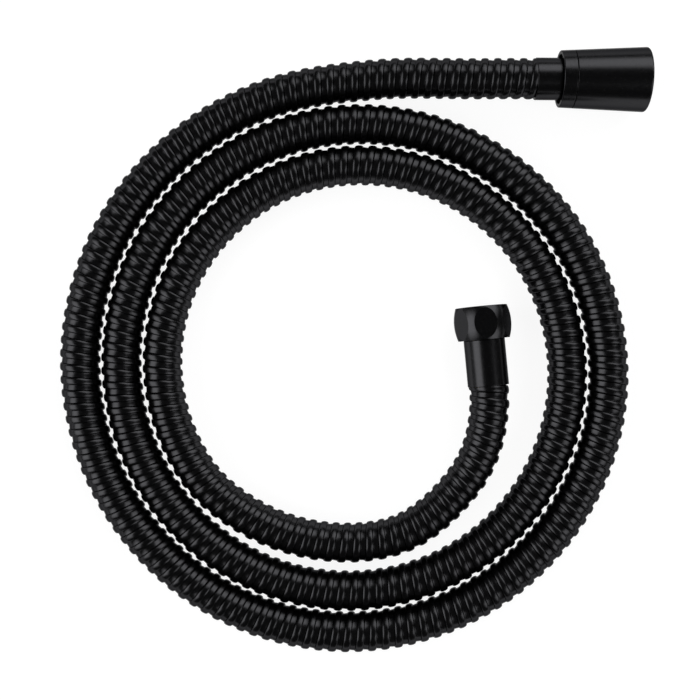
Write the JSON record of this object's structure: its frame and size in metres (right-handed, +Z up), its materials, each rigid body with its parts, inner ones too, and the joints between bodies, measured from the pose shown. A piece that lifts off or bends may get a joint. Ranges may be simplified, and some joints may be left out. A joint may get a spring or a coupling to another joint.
{
  "type": "shower hose",
  "caption": "Flexible metal shower hose laid in a flat spiral, with a conical swivel nut on one end and a hexagonal swivel nut on the other.",
  "frame": {"origin": "on the surface the hose lies on, under the middle of the coil's bounding box", "axes": "+Z up; +X the way the conical nut points; +Y towards the straight stretch that leads to the conical nut"},
  "size_m": [0.2394, 0.2466, 0.0257],
  "materials": {
    "black_hose": "semi-gloss black on wound stainless strip",
    "black_fitting": "semi-gloss black on brass",
    "rubber_hose": "matt black rubber",
    "brass": "turned, bare",
    "plastic": "moulded, natural white",
    "seal": "matt black rubber"
  },
  "bodies": {
    "hose": {"metal_casing": "black_hose", "inner_hose": "rubber_hose", "cone_ferrule": "black_fitting", "cone_support_ring": "brass", "cone_clamp_ring": "brass", "cone_insert": "brass", "cone_slip_ring": "plastic", "cone_washer": "seal", "nut_ferrule": "black_fitting", "nut_support_ring": "brass", "nut_clamp_ring": "brass", "nut_insert": "brass", "nut_slip_ring": "plastic", "nut_washer": "seal"},
    "cone": {"cone_nut": "black_fitting", "cone_collar": "black_fitting", "cone_bush": "plastic"},
    "nut": {"hex_nut": "black_fitting"}
  },
  "joints": [
    {"name": "cone_spin", "type": "hinge", "parent": "hose", "child": "cone", "pos_m": [0.07477, 0.11079, 0.01286], "axis": [1, -0.0079, 0], "continuous": true},
    {"name": "nut_spin", "type": "hinge", "parent": "hose", "child": "nut", "pos_m": [0.05581, -0.01371, 0.0107], "axis": [-0.0941, 0.9956, 0], "continuous": true}
  ]
}
